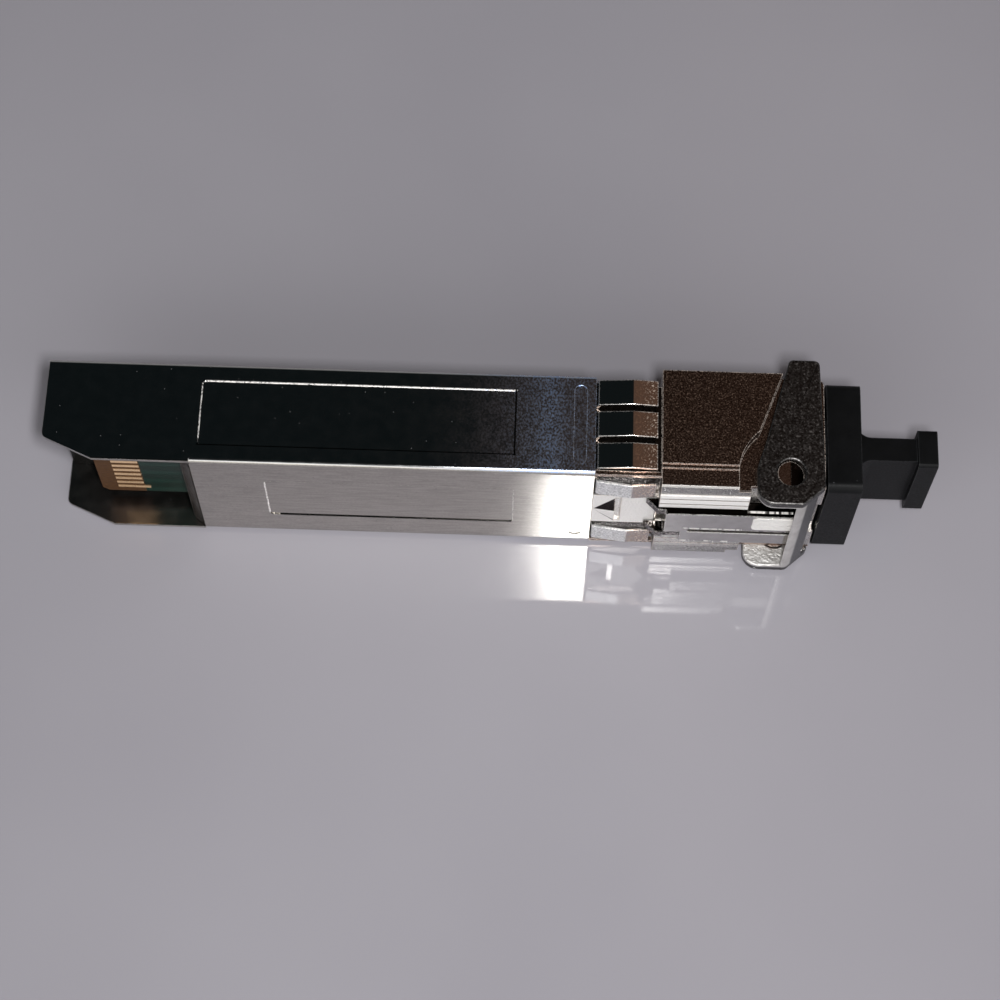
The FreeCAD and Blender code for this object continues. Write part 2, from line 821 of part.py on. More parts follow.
def make_slider():
    """Release slide: winged spine in the nose's channel and two ramped tines at the rear."""
    body = new_body("latch_slider")
    back = d.stop_plane + d.slide_travel
    top = -d.channel_floor - d.slide_gap
    spine_side = d.channel_width / 2 - d.slide_gap
    wing_side = d.wing_groove_width / 2 - d.slide_gap
    wing_low = -d.channel_floor - d.wing_groove_height + d.slide_gap
    section = [
        (-d.spine_level, -spine_side),
        (wing_low, -spine_side),
        (wing_low, -wing_side),
        (top, -wing_side),
        (top, wing_side),
        (wing_low, wing_side),
        (wing_low, spine_side),
        (-d.spine_level, spine_side),
    ]
    pad(body, "yz", [section], back, d.slide_front)
    front_edge = (d.slide_front, -d.spine_level)
    soften("Chamfer", body, "z", [front_edge], d.spine_nose_chamfer)
    # One long groove and a lower step split the face of the spine.
    groove_low = -d.spine_bar_edge
    groove_high = groove_low + d.spine_groove_width
    groove_back = d.spine_bar_start + d.spine_groove_width
    groove = rectangle(groove_back, d.slide_front + CLEAR, groove_low, groove_high)
    pocket(body, "xz", [groove], -d.spine_level - CLEAR, -d.spine_level + d.spine_groove_depth)
    step = rectangle(back - CLEAR, d.spine_bar_start, -spine_side - CLEAR, groove_low)
    pocket(body, "xz", [step], -d.spine_level - CLEAR, -d.spine_level + d.spine_step)
    # Raised grip pad with round rear corners
    grip_front = d.slide_front - d.spine_nose_chamfer
    grip_back = grip_front - d.grip_length
    grip_high = spine_side - d.grip_inset
    grip_low = grip_high - d.grip_width
    grip = rectangle(grip_back, grip_front, grip_low, grip_high)
    pad(body, "xz", [grip], -d.spine_level - d.grip_height, -d.spine_level)
    soften("Fillet", body, "y", [(grip_back, grip_low), (grip_back, grip_high)], d.grip_round)
    # Tines reach over the neck to the boss, each with a slanted nose.
    tine_low = shell_base - d.slide_gap
    tine_tip = d.stop_plane - d.tine_setback
    tine = [
        (tine_tip, tine_low),
        (tine_tip + d.tine_height, tine_low - d.tine_height),
        (back, tine_low - d.tine_height),
        (back, tine_low),
    ]
    for side in (1, -1):
        pad(body, "xy", [tine], *mirrored(side, spine_side - d.tine_width, spine_side))
    # Pocket for the return spring and the post it leans on
    room = d.spring_swing + d.slide_gap * 2
    spring_room = strip(d.spring_post_start - d.slide_travel, spring_end, room)
    pocket(body, "xz", [spring_room], top - d.spring_height, top + CLEAR)


def make_spring():
    """Return spring: a strip bent to and fro between the post and the slide's pocket."""
    body = new_body("return_spring")
    start = spring_start + d.fit_gap
    pitch = (d.spring_pocket_length - d.spring_sheet - d.fit_gap * 2) / SPRING_BENDS
    reach = d.spring_swing / 2
    strip_edge = reach - d.spring_sheet
    low = -d.channel_floor - d.spring_height
    high = -d.channel_floor - d.fit_gap
    legs = []
    bends = []
    for number in range(SPRING_BENDS + 1):
        back = start + pitch * number
        legs.append(strip(back, back + d.spring_sheet, d.spring_swing))
        if number < SPRING_BENDS:
            across = mirrored(1 if number % 2 else -1, strip_edge, reach)
            bends.append(rectangle(back + d.spring_sheet, back + pitch, *across))
    pad(body, "xz", legs, low, high)
    pad(body, "xz", bends, low, high)


def make_bail():
    """Release lever: two arms on the nose's pivots, a handle bar and a toe plate that push the slide."""
    body = new_body("bail")
    inner = pocket_side + d.arm_gap
    outer = inner + d.arm_thickness
    waist, top = arm_back_line()
    bottom = pivot_y - d.arm_drop
    lobe_back = d.pivot_x - d.arm_lobe
    arm = [
        top,
        (d.arm_top_front, d.arm_top),
        (d.arm_front, -d.arm_toe_level),
        (d.arm_heel_front, bottom),
        (lobe_back, bottom),
        (lobe_back, -d.arm_shoulder_level),
        waist,
    ]
    for side in (1, -1):
        pad(body, "xy", [arm], *mirrored(side, inner, outer))
    # The handle bar's back follows the arms' leaning back edges.
    back_lean = (top[0] - waist[0]) / (top[1] - waist[1])
    handle_low = d.arm_top - d.handle_height
    handle = [
        top,
        (top[0] + d.handle_length, d.arm_top),
        (top[0] + d.handle_length, handle_low),
        (top[0] - back_lean * d.handle_height, handle_low),
    ]
    pad(body, "xy", [handle], -inner, inner)
    # The toe plate slants between the arms' lower front corners.
    toe_lean = (d.arm_front - d.arm_heel_front) / (-d.arm_toe_level - bottom)
    toe_high = -d.arm_toe_level - d.toe_setback
    toe_front = d.arm_front - toe_lean * d.toe_setback
    toe = [
        (d.arm_heel_front, bottom),
        (toe_front, toe_high),
        (toe_front - d.toe_plate, toe_high),
        (d.arm_heel_front - d.toe_plate, bottom),
    ]
    pad(body, "xy", [toe], -inner, inner)
    hole = (d.pivot_x, pivot_y, d.pivot_radius + d.pivot_fit)
    pocket(body, "xy", [hole], -outer - CLEAR, outer + CLEAR)
    soften("Fillet", body, "z", [(d.arm_heel_front, bottom)], d.arm_sole_round)
    soften("Fillet", body, "z", [(lobe_back, bottom)], d.arm_heel_round)
    soften("Fillet", body, "z", [(d.arm_top_front, d.arm_top)], d.arm_top_round)
    soften("Fillet", body, "z", [top], d.arm_top_round)
    soften("Fillet", body, "z", [(d.arm_front, -d.arm_toe_level)], d.arm_toe_round)
    soften("Fillet", body, "z", [waist, (lobe_back, -d.arm_shoulder_level)], d.arm_heel_round)


def make_plug():
    """Dust plug: one moulding with a flange, a waisted grip and two prongs in the ports."""
    body = new_body("dust_plug")
    flange_front = plug_back + d.flange_length
    flange_low = d.flange_rise - d.flange_height / 2
    flange = strip(flange_low, flange_low + d.flange_height, d.flange_width)
    pad(body, "yz", [flange], plug_back, flange_front)
    soften("Fillet", body, "x", flange, d.flange_round)
    pad(body, "yz", [centred(d.stem_height, d.stem_width)], flange_front, d.stem_end)
    stem_roots = [(flange_front, d.stem_height / 2), (flange_front, -d.stem_height / 2)]
    soften("Fillet", body, "z", stem_roots, d.stem_fillet)
    bar_front = d.stem_end + d.grip_bar_length
    pad(body, "yz", [centred(d.grip_bar_height, d.grip_bar_width)], d.stem_end, bar_front)
    soften("Fillet", body, "x", four_corners(d.grip_bar_height / 2, d.grip_bar_width / 2), d.plug_edge)
    half = d.port_square / 2 - d.prong_gap
    for side in (1, -1):
        middle = port_offset * side
        prong = rectangle(-half, half, middle - half, middle + half)
        pad(body, "yz", [prong], d.nose_front - d.prong_length, plug_back)
        corners = [(level, middle + across) for level, across in four_corners(half, half)]
        soften("Chamfer", body, "x", corners, d.prong_edge)


def make_board():
    """Circuit board: a narrow card edge at the rear and a wider part held in the tray."""
    body = new_body("circuit_board")
    card_end = -d.board_end + d.card_length
    card_side = d.card_width / 2
    half = [
        (-d.board_end, card_side - d.card_chamfer),
        (-d.board_end + d.card_chamfer, card_side),
        (card_end, card_side),
        (card_end, board_side),
        (-d.board_front, board_side),
    ]
    outline = half + [(along, -across) for along, across in reversed(half)]
    pad(body, "xz", [outline], board_under, board_over)
    pocket(body, "xz", screw_holes(), board_under - CLEAR, board_over + CLEAR)


def make_block(name, low, high):
    """Box primitive between two corners, each given as X, Y and Z."""
    block = doc.addObject("Part::Box", name)
    for axis, length, first, last in zip(AXES, ("Length", "Width", "Height"), low, high):
        bind(block, length, as_size(last) - first)
        bind(block, f"Placement.Base.{axis}", first)
    return block


def make_group(label, pieces):
    """Keep separate like pieces together as one sub-part."""
    group = doc.addObject("Part::Compound", label)
    group.Label = label
    group.Links = pieces
    parts[label] = group
    return group


def make_contacts():
    """Gold contact pads on both faces of the card edge; the outer ones reach further back."""
    pads = []
    faces = (
        (board_under - d.contact_plating, board_under),
        (board_over, board_over + d.contact_plating),
    )
    for face, (low, high) in enumerate(faces):
        for number in range(CONTACTS_PER_SIDE):
            middle = d.contact_pitch * (number - (CONTACTS_PER_SIDE - 1) / 2)
            rear = -d.board_end + d.contact_setback
            outermost = number in (0, CONTACTS_PER_SIDE - 1)
            front = rear + d.contact_length + (d.ground_extra if outermost else ZERO)
            near = (rear, low, middle - d.contact_width / 2)
            far = (front, high, middle + d.contact_width / 2)
            pads.append(make_block(f"contact_{face}_{number}", near, far))
    make_group("edge_contacts", pads)


def make_chip(label, setback, side, low, high):
    """Square chip package with chamfered upright edges."""
    body = new_body(label)
    half = side / 2
    pad(body, "xz", [rectangle(-setback - half, -setback + half, -half, half)], low, high)
    corners = [(-setback + along, across) for along, across in four_corners(half, half)]
    soften("Chamfer", body, "y", corners, d.chip_chamfer)


def make_board_pieces():
    """Chips, thermal pad, capacitors and screws on the board."""
    chip_top = board_over + d.chip_height
    make_chip("driver_chip", d.driver_setback, d.driver_size, board_over, chip_top)
    chip_base = board_under - d.chip_height
    make_chip("controller_chip", d.controller_setback, d.controller_size, chip_base, board_under)
    half = d.driver_size / 2
    low = (-d.driver_setback - half, chip_top, -half)
    high = (-d.driver_setback + half, chip_top + d.pad_thickness, half)
    cushion = make_block("thermal_pad", low, high)
    cushion.Label = "thermal_pad"
    parts["thermal_pad"] = cushion
    blocks = []
    for number in range(CAPACITORS):
        across = d.capacitor_pitch * (number - (CAPACITORS - 1) / 2) - d.capacitor_width / 2
        low = (-d.capacitor_setback, board_over, across)
        far_end = -d.capacitor_setback + d.capacitor_length
        high = (far_end, board_over + d.capacitor_width, across + d.capacitor_width)
        blocks.append(make_block(f"capacitor_{number}", low, high))
    make_group("board_capacitors", blocks)
    make_screws()


def make_screws():
    """Two screws up through the board into the tray's rails."""
    screws = []
    for side, word in ((1, "near"), (-1, "far")):
        body = doc.addObject("PartDesign::Body", f"screw_{word}")
        across = screw_offset * side
        head = (-d.screw_setback, across, d.screw_head_radius)
        shank = (-d.screw_setback, across, d.screw_radius)
        pad(body, "xz", [head], board_under - d.screw_head_height, board_under)
        pad(body, "xz", [shank], board_under, board_under + d.screw_length)
        screws.append(body)
    make_group("board_screws", screws)


def make_optics():
    """Laser and detector sub-assemblies behind the two ports."""
    bore = d.ferrule_radius + d.split_sleeve_wall + d.fit_gap
    bore_back = d.barrel_reach - d.split_sleeve_length - d.fit_gap
    for name, side in (("tosa", 1), ("rosa", -1)):
        level = port_offset * side
        barrel = new_body(f"{name}_receptacle")
        outline = [
            (optic_back, d.can_cap_radius + d.fit_gap),
            (optic_back, d.optic_body_radius),
            (waist_back, d.optic_body_radius),
            (waist_back, d.waist_radius),
            (seat_back, d.waist_radius),
            (seat_back, d.seat_flange_radius),
            (d.seat_plane, d.seat_flange_radius),
            (d.seat_plane, d.barrel_radius),
            (d.barrel_reach, d.barrel_radius),
            (d.barrel_reach, bore),
            (bore_back, bore),
            (bore_back, d.ferrule_radius),
            (waist_back, d.ferrule_radius),
            (optic_back + d.can_cap_length, d.can_cap_radius + d.fit_gap),
        ]
        revolve(barrel, outline, level)
        sleeve = new_body(f"{name}_split_sleeve")
        ring = [
            (bore_back + d.fit_gap, d.ferrule_radius),
            (d.barrel_reach, d.ferrule_radius),
            (d.barrel_reach, d.ferrule_radius + d.split_sleeve_wall),
            (bore_back + d.fit_gap, d.ferrule_radius + d.split_sleeve_wall),
        ]
        revolve(sleeve, ring, level)
        slot = strip(bore_back - CLEAR, d.barrel_reach + CLEAR, d.split_gap)
        pocket(sleeve, "xy", [slot], level, level + d.ferrule_radius + d.split_sleeve_wall + CLEAR)
        can = new_body(f"{name}_can")
        header = [
            (can_back, ZERO),
            (can_back, d.can_radius),
            (optic_back, d.can_radius),
            (optic_back, d.can_cap_radius),
            (optic_back + d.can_cap_length - d.fit_gap, d.can_cap_radius),
            (optic_back + d.can_cap_length - d.fit_gap, ZERO),
        ]
        revolve(can, header, level)
        make_flex(name, level)
    make_retainer()


def make_flex(name, level):
    """Flexible circuit: down the back of a can and along the top of the board."""
    body = new_body(f"{name}_flex")
    lap_end = -d.board_front - d.flex_lap
    outline = [
        (lap_end, board_over),
        (can_back, board_over),
        (can_back, d.can_cap_radius),
        (can_back - d.flex_sheet, d.can_cap_radius),
        (can_back - d.flex_sheet, board_over + d.flex_sheet),
        (lap_end, board_over + d.flex_sheet),
    ]
    pad(body, "xy", [outline], level - d.flex_width / 2, level + d.flex_width / 2)


def make_retainer():
    """Plate in the waists of both optical barrels, between the neck's roof and base."""
    body = new_body("osa_retainer")
    high = neck_top - d.neck_wall - d.fit_gap
    wide = neck_side - d.neck_wall - d.fit_gap
    plate = centred(high * 2, wide * 2)
    pad(body, "yz", [plate], waist_back + d.retainer_gap, seat_back - d.retainer_gap)
    for side in (1, -1):
        middle = port_offset * side
        reach = d.waist_radius + d.retainer_gap
        pocket(body, "yz", [(ZERO, middle, reach)], waist_back, seat_back)
        slot = rectangle(-high - CLEAR, ZERO, middle - reach, middle + reach)
        pocket(body, "yz", [slot], waist_back, seat_back)


def check_model():
    """Stop if any object failed, a cut removed nothing or a sub-part is not sound."""
    for item in doc.Objects:
        if "Invalid" in item.State or "Error" in item.State:
            raise RuntimeError(f"{item.Name} failed: {item.State}")
        if item.TypeId == "PartDesign::Pocket":
            if item.BaseFeature.Shape.Volume - item.Shape.Volume < 1e-6:
                raise RuntimeError(f"{item.Name} cuts nothing")
    for label, item in parts.items():
        shape = item.Shape
        if shape.isNull() or not shape.isValid() or not shape.Solids:
            raise RuntimeError(f"{label} is not a sound solid")


make_sleeve()
make_collar()
make_nose()
make_slider()
make_spring()
make_bail()
make_plug()
make_board()
make_contacts()
make_board_pieces()
make_optics()
doc.recompute()
check_model()

os.makedirs("parts", exist_ok=True)
for label, item in parts.items():
    item.Shape.exportStep(f"parts/{label}.step")
    print(f"{label}: {len(item.Shape.Solids)} solids, {item.Shape.Volume:.2f} cubic mm")
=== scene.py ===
import json
import math

import bmesh
import bpy
from mathutils import Matrix, Vector


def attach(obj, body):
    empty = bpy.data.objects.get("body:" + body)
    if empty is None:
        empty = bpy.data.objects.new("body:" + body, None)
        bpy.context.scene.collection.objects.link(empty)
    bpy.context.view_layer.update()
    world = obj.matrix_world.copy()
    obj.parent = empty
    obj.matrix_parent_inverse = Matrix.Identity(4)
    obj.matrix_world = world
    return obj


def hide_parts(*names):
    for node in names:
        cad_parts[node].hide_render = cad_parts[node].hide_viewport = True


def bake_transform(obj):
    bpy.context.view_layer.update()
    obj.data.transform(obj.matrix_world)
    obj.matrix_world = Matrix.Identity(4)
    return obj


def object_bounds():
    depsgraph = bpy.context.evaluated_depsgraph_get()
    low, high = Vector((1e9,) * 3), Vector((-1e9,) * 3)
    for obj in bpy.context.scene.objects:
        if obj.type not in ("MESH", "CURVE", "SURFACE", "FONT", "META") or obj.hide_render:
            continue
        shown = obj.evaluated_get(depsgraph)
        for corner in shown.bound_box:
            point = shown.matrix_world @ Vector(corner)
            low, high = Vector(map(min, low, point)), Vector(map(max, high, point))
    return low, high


# Looks of a small pluggable optical transceiver that lies on its side.
# X runs along the module to the plug, Y goes up to the shell's roof and Z lies across.
# Lengths are in millimetres and become metres where they are used, unless a comment says metres.
MM = 0.001

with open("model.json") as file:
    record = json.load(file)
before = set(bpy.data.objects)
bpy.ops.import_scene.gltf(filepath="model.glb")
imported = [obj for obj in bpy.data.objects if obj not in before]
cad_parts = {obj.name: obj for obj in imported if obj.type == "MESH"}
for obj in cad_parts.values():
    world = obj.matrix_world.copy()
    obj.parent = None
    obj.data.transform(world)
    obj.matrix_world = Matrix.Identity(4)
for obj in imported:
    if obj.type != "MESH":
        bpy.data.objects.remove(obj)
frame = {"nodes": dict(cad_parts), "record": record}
cad_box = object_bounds()
nodes = frame["nodes"]
bodies = frame["record"]["behaviour"]["bodies"]
BODY_OF = {name: body for body, names in bodies.items() for name in names}

# Camera of the photograph, in metres and degrees, with lens and sensor in millimetres
CAMERA_SPOT = (-0.007609, -0.079687, 0.176337)
CAMERA_ELEVATION = 66.708
CAMERA_YAW = -1.163
CAMERA_ROLL = -0.774
CAMERA_LENS = 86.218
CAMERA_SENSOR = 36.0
CAMERA_NEAR_LIMIT = 0.01

# Lamp beside the camera, in metres and watts
LAMP_SPOT = (0.0025, -0.08, 0.176)
LAMP_SIZE = (0.011, 0.022)
LAMP_POWER = 0.25

# Half the table's side, in metres, and its gap under the part
TABLE_HALF = 1.5
TABLE_GAP = 0.02

# Pressed panels of the shell
PANEL_FRONT = -8.1
PANEL_MARGIN = 0.1
SIDE_PANEL_REAR = -32.8
SIDE_PANEL_HALF = 2.75
BASE_PANEL_REAR = -27.8
BASE_PANEL_HALF = 3.3

# Axis of the bail's stub pivots, and the distance between contact pads
PIVOT_ALONG = 13.43
PIVOT_UP = -3.6
CONTACT_PITCH = 0.8

# Colour of plated edges that are rubbed bright
EDGE_METAL = (0.9, 0.87, 0.84)
WEAR_SAMPLES = 6

# Pieces whose edges are broken, with the width of the break
BROKEN_EDGES = {
    "sleeve": 0.05,
    "emi_collar": 0.04,
    "nose_housing": 0.08,
    "bail": 0.13,
    "latch_slider": 0.07,
    "dust_plug": 0.14,
    "circuit_board": 0.03,
}
BREAK_STEPS = 3
EDGE_ANGLE = math.radians(35)
FLAT_ANGLE = math.radians(0.5)
FLAT_WEIGHT = 100
WELD_REACH = 0.0005


def new_material(name):
    """Start a node material and return its tree, shader and object coordinates."""
    material = bpy.data.materials.new(name)
    material.use_nodes = True
    tree = material.node_tree
    shader = tree.nodes["Principled BSDF"]
    place = tree.nodes.new("ShaderNodeTexCoord")
    return material, tree, shader, place.outputs["Object"]


def add_node(tree, kind, inputs=None, **settings):
    """Add a shader node, set its properties and link or set its inputs by name or number."""
    node = tree.nodes.new(kind)
    for key, value in settings.items():
        setattr(node, key, value)
    for key, value in (inputs or {}).items():
        if isinstance(value, bpy.types.NodeSocket):
            tree.links.new(value, node.inputs[key])
        else:
            node.inputs[key].default_value = value
    return node


def noise(tree, coordinates, scale, detail=2.0, rough=0.5):
    """Soft noise with a number of features per metre."""
    inputs = {"Vector": coordinates, "Scale": scale, "Detail": detail, "Roughness": rough}
    return add_node(tree, "ShaderNodeTexNoise", inputs).outputs["Fac"]


def drawn_noise(tree, coordinates, scales, detail):
    """Noise drawn out by its own number of features per metre along each axis."""
    stretched = add_node(tree, "ShaderNodeMapping", {"Vector": coordinates, "Scale": scales})
    return noise(tree, stretched.outputs["Vector"], 1.0, detail)


def grey(value):
    """Neutral colour of one value."""
    return (value, value, value)


def colour_of(value):
    """Give a plain colour its alpha, and leave a socket as it is."""
    return value if isinstance(value, bpy.types.NodeSocket) else (*value, 1.0)


def ramp(tree, value, stops):
    """Map a value through a list of places and colours."""
    node = add_node(tree, "ShaderNodeValToRGB", {"Fac": value})
    elements = node.color_ramp.elements
    while len(elements) < len(stops):
        elements.new(0.5)
    for element, (place, colour) in zip(elements, stops):
        element.position = place
        element.color = colour_of(colour)
    return node.outputs["Color"]


def levels(tree, value, low, high, to_low=0.0, to_high=1.0):
    """Map a range of values to another one, clamped."""
    inputs = {"Value": value, "From Min": low, "From Max": high, "To Min": to_low, "To Max": to_high}
    return add_node(tree, "ShaderNodeMapRange", inputs).outputs["Result"]


def bump(tree, height, depth_mm, below=None):
    """Raise a surface by a height pattern, over another bump if one is given."""
    inputs = {"Height": height, "Strength": 1.0, "Distance": depth_mm * MM}
    if below is not None:
        inputs["Normal"] = below
    return add_node(tree, "ShaderNodeBump", inputs).outputs["Normal"]


def axis_lengths(tree, place):
    """Split object coordinates into sockets for X, Y and Z."""
    split = add_node(tree, "ShaderNodeSeparateXYZ", {"Vector": place})
    return split.outputs["X"], split.outputs["Y"], split.outputs["Z"]


def math_node(tree, operation, first, second=0.0, third=0.0):
    """One sum of two or three sockets or numbers."""
    inputs = {0: first, 1: second, 2: third}
    return add_node(tree, "ShaderNodeMath", inputs, operation=operation).outputs["Value"]


def size_of(tree, value):
    """Distance from the middle on an axis."""
    return math_node(tree, "ABSOLUTE", value)


def inverse(tree, mask):
    """1 where a mask is 0, and 0 where it is 1."""
    return math_node(tree, "SUBTRACT", 1.0, mask)


def every(tree, *masks):
    """Product of masks: 1 where all of them are 1."""
    result = masks[0]
    for mask in masks[1:]:
        result = math_node(tree, "MULTIPLY", result, mask)
    return result


def larger(tree, *masks):
    """Largest of some masks: 1 where any of them is 1."""
    result = masks[0]
    for mask in masks[1:]:
        result = math_node(tree, "MAXIMUM", result, mask)
    return result


def lifted(tree, base, *parts):
    """Add masks to a value, each times its own amount."""
    result = base
    for mask, amount in parts:
        result = math_node(tree, "MULTIPLY_ADD", mask, amount, result)
    return result


def fade(tree, value, low_mm, high_mm):
    """Rise smoothly from 0 to 1 between two places on an axis."""
    inputs = {"Value": value, "From Min": low_mm * MM, "From Max": high_mm * MM}
    node = add_node(tree, "ShaderNodeMapRange", inputs, interpolation_type="SMOOTHSTEP")
    return node.outputs["Result"]


def near(tree, value, spot_mm, reach_mm):
    """1 within a reach of a place on an axis, and 0 elsewhere."""
    off = size_of(tree, math_node(tree, "SUBTRACT", value, spot_mm * MM))
    return math_node(tree, "LESS_THAN", off, reach_mm * MM)


def within(tree, value, low_mm, high_mm):
    """1 between two places on an axis, and 0 elsewhere."""
    return near(tree, value, (low_mm + high_mm) / 2, (high_mm - low_mm) / 2)


def blend(tree, factor, first, second):
    """Mix two colours by a factor."""
    inputs = {"Factor": factor, 6: colour_of(first), 7: colour_of(second)}
    return add_node(tree, "ShaderNodeMix", inputs, data_type="RGBA").outputs[2]


def layered(tree, base, *layers):
    """Lay colours over a base, each where its own mask is 1."""
    result = base
    for mask, colour in layers:
        result = blend(tree, mask, result, colour)
    return result


def specks(tree, place, scale, size, share):
    """Sparse round specks: 1 on a speck and 0 elsewhere; share is the part of the cells with one."""
    cells = add_node(tree, "ShaderNodeTexVoronoi", {"Vector": place, "Scale": scale})
    spot = levels(tree, cells.outputs["Distance"], size * 0.6, size, 1.0, 0.0)
    split = add_node(tree, "ShaderNodeSeparateColor", {"Color": cells.outputs["Color"]})
    chosen = math_node(tree, "LESS_THAN", split.outputs["Red"], share)
    return every(tree, spot, chosen)


def edge_wear(tree, reach_mm, grain):
    """1 along rubbed edges, broken up by a grain, and 0 on the flats."""
    soft = add_node(tree, "ShaderNodeBevel", {"Radius": reach_mm * MM}, samples=WEAR_SAMPLES)
    plain = add_node(tree, "ShaderNodeNewGeometry")
    normals = {0: soft.outputs["Normal"], 1: plain.outputs["Normal"]}
    agree = add_node(tree, "ShaderNodeVectorMath", normals, operation="DOT_PRODUCT")
    edge = levels(tree, agree.outputs["Value"], 0.985, 0.9)
    return every(tree, edge, levels(tree, grain, 0.36, 0.5))


def finish_shader(tree, shader, colour, metallic, roughness, normal):
    """Set or link the main inputs of a shader."""
    given = {"Base Color": colour, "Metallic": metallic, "Roughness": roughness, "Normal": normal}
    for name, value in given.items():
        if isinstance(value, bpy.types.NodeSocket):
            tree.links.new(value, shader.inputs[name])
        else:
            shader.inputs[name].default_value = value


def front_haze(tree, along, brushed):
    """Haze of handling on the shell: it grows towards the front end and eases near its edge."""
    rise = levels(tree, along, -17.6 * MM, -5.4 * MM)
    fall = levels(tree, along, -5.2 * MM, -3.6 * MM, 1.0, 0.7)
    return every(tree, rise, rise, fall, levels(tree, brushed, 0.38, 0.62, 0.3, 1.0))


def side_panel_lines(tree, along, up, grain):
    """Lines round the side panels: painted highlight above and behind, painted shade below and in front.
    """
    panel_end = PANEL_FRONT + PANEL_MARGIN
    panel_top = SIDE_PANEL_HALF + PANEL_MARGIN
    length = within(tree, along, SIDE_PANEL_REAR - PANEL_MARGIN, panel_end)
    upper_length = within(tree, along, SIDE_PANEL_REAR + 2 * PANEL_MARGIN, panel_end)
    upper = every(tree, near(tree, up, SIDE_PANEL_HALF, 0.07), upper_length)
    rear = every(tree, near(tree, along, SIDE_PANEL_REAR, 0.05), within(tree, up, -2.2, 2.55))
    lower = every(tree, near(tree, up, -SIDE_PANEL_HALF, 0.06), length)
    front = every(tree, near(tree, along, PANEL_FRONT, 0.07), within(tree, up, -panel_top, panel_top))
    # Painted highlight on the upper and rear lines; the lower and front lines get painted shade
    bright = every(tree, larger(tree, upper, rear), levels(tree, grain, 0.4, 0.5, 0.2, 1.0))
    return bright, larger(tree, lower, front)


def base_panel_lines(tree, along, across, grain):
    """Lines round the base panel: whitish at its ends, brighter at the rear, in shade below."""
    rear = every(tree, near(tree, along, BASE_PANEL_REAR, 0.06), 0.9)
    front = every(tree, near(tree, along, PANEL_FRONT, 0.06), 0.4)
    end_line_grain = every(tree, within(tree, across, -3.1, 3.1), levels(tree, grain, 0.4, 0.5, 0.3, 1.0))
    ends = every(tree, larger(tree, rear, front), end_line_grain)
    lower = every(tree, near(tree, across, -BASE_PANEL_HALF, 0.08), within(tree, along, -27.0, -8.2))
    return ends, lower


def nickel_sheet():
    """Folded nickel-plated sheet: a soft mirror outside, duller inside, with dust and brushing."""
    material, tree, shader, place = new_material("nickel_sheet_finish")
    along, up, across = axis_lengths(tree, place)
    out_side = fade(tree, size_of(tree, across), 6.5, 6.56)
    out_base = fade(tree, size_of(tree, up), 4.1, 4.15)
    outside = larger(tree, out_side, out_base)
    mottle = noise(tree, place, 900.0, 4.0, 0.6)
    grain = noise(tree, place, 6000.0, 3.0, 0.65)
    brushed = drawn_noise(tree, place, (7000.0, 5200.0, 5200.0), 3.0)
    scratches = drawn_noise(tree, place, (500.0, 9000.0, 9000.0), 3.0)
    dust = specks(tree, place, 2600.0, 0.11, 0.07)
    wear = edge_wear(tree, 0.07, grain)
    haze_and_painted_sheen = every(tree, front_haze(tree, along, brushed), out_side)
    side_painted_highlight, side_shade = side_panel_lines(tree, along, up, grain)
    base_ends, base_shade = base_panel_lines(tree, along, across, grain)
    painted_highlight_lines = every(tree, side_painted_highlight, out_side)
    base_ends = every(tree, base_ends, out_base)
    shade = larger(tree, every(tree, side_shade, out_side), every(tree, base_shade, out_base))
    plate = ramp(tree, mottle, [(0.3, (0.51, 0.505, 0.5)), (0.7, (0.59, 0.58, 0.575))])
    rubbing = lifted(tree, every(tree, scratches, 0.6), (grain, 0.4))
    scuffed = ramp(tree, rubbing, [(0.4, (0.41, 0.388, 0.355)), (0.6, (0.57, 0.54, 0.495))])
    sheet = layered(
        tree,
        plate,
        (out_base, scuffed),
        # Handling haze: rougher, with a blue colour that is a painted sheen
        (haze_and_painted_sheen, (0.36, 0.5, 0.78)),
        # Painted highlight on the side panels' upper and rear lines; painted shade on their lower and
        # front lines and on the base panel's lower line
        (painted_highlight_lines, (0.95, 0.93, 0.91)),
        (shade, (0.02, 0.019, 0.018)),
        (base_ends, (0.95, 0.92, 0.9)),
    )
    dull = ramp(tree, mottle, [(0.3, (0.25, 0.235, 0.22)), (0.7, (0.36, 0.34, 0.32))])
    colour = layered(tree, dull, (outside, sheet), (dust, (0.06, 0.063, 0.066)))
    smooth = levels(tree, mottle, 0.3, 0.7, 0.09, 0.13)
    inside = inverse(tree, outside)
    roughness = lifted(tree, smooth, (haze_and_painted_sheen, 0.3), (inside, 0.12), (wear, 0.3), (painted_highlight_lines, 0.45))
    wave = bump(tree, noise(tree, place, 350.0, 1.0), 0.003)
    pores = bump(tree, grain, 0.0009, wave)
    lines = bump(tree, every(tree, scratches, out_base), 0.0007, pores)
    normal = bump(tree, brushed, 0.0005, lines)
    metallic = lifted(tree, inverse(tree, dust), (base_ends, -0.6))
    finish_shader(tree, shader, colour, metallic, roughness, normal)
    return material


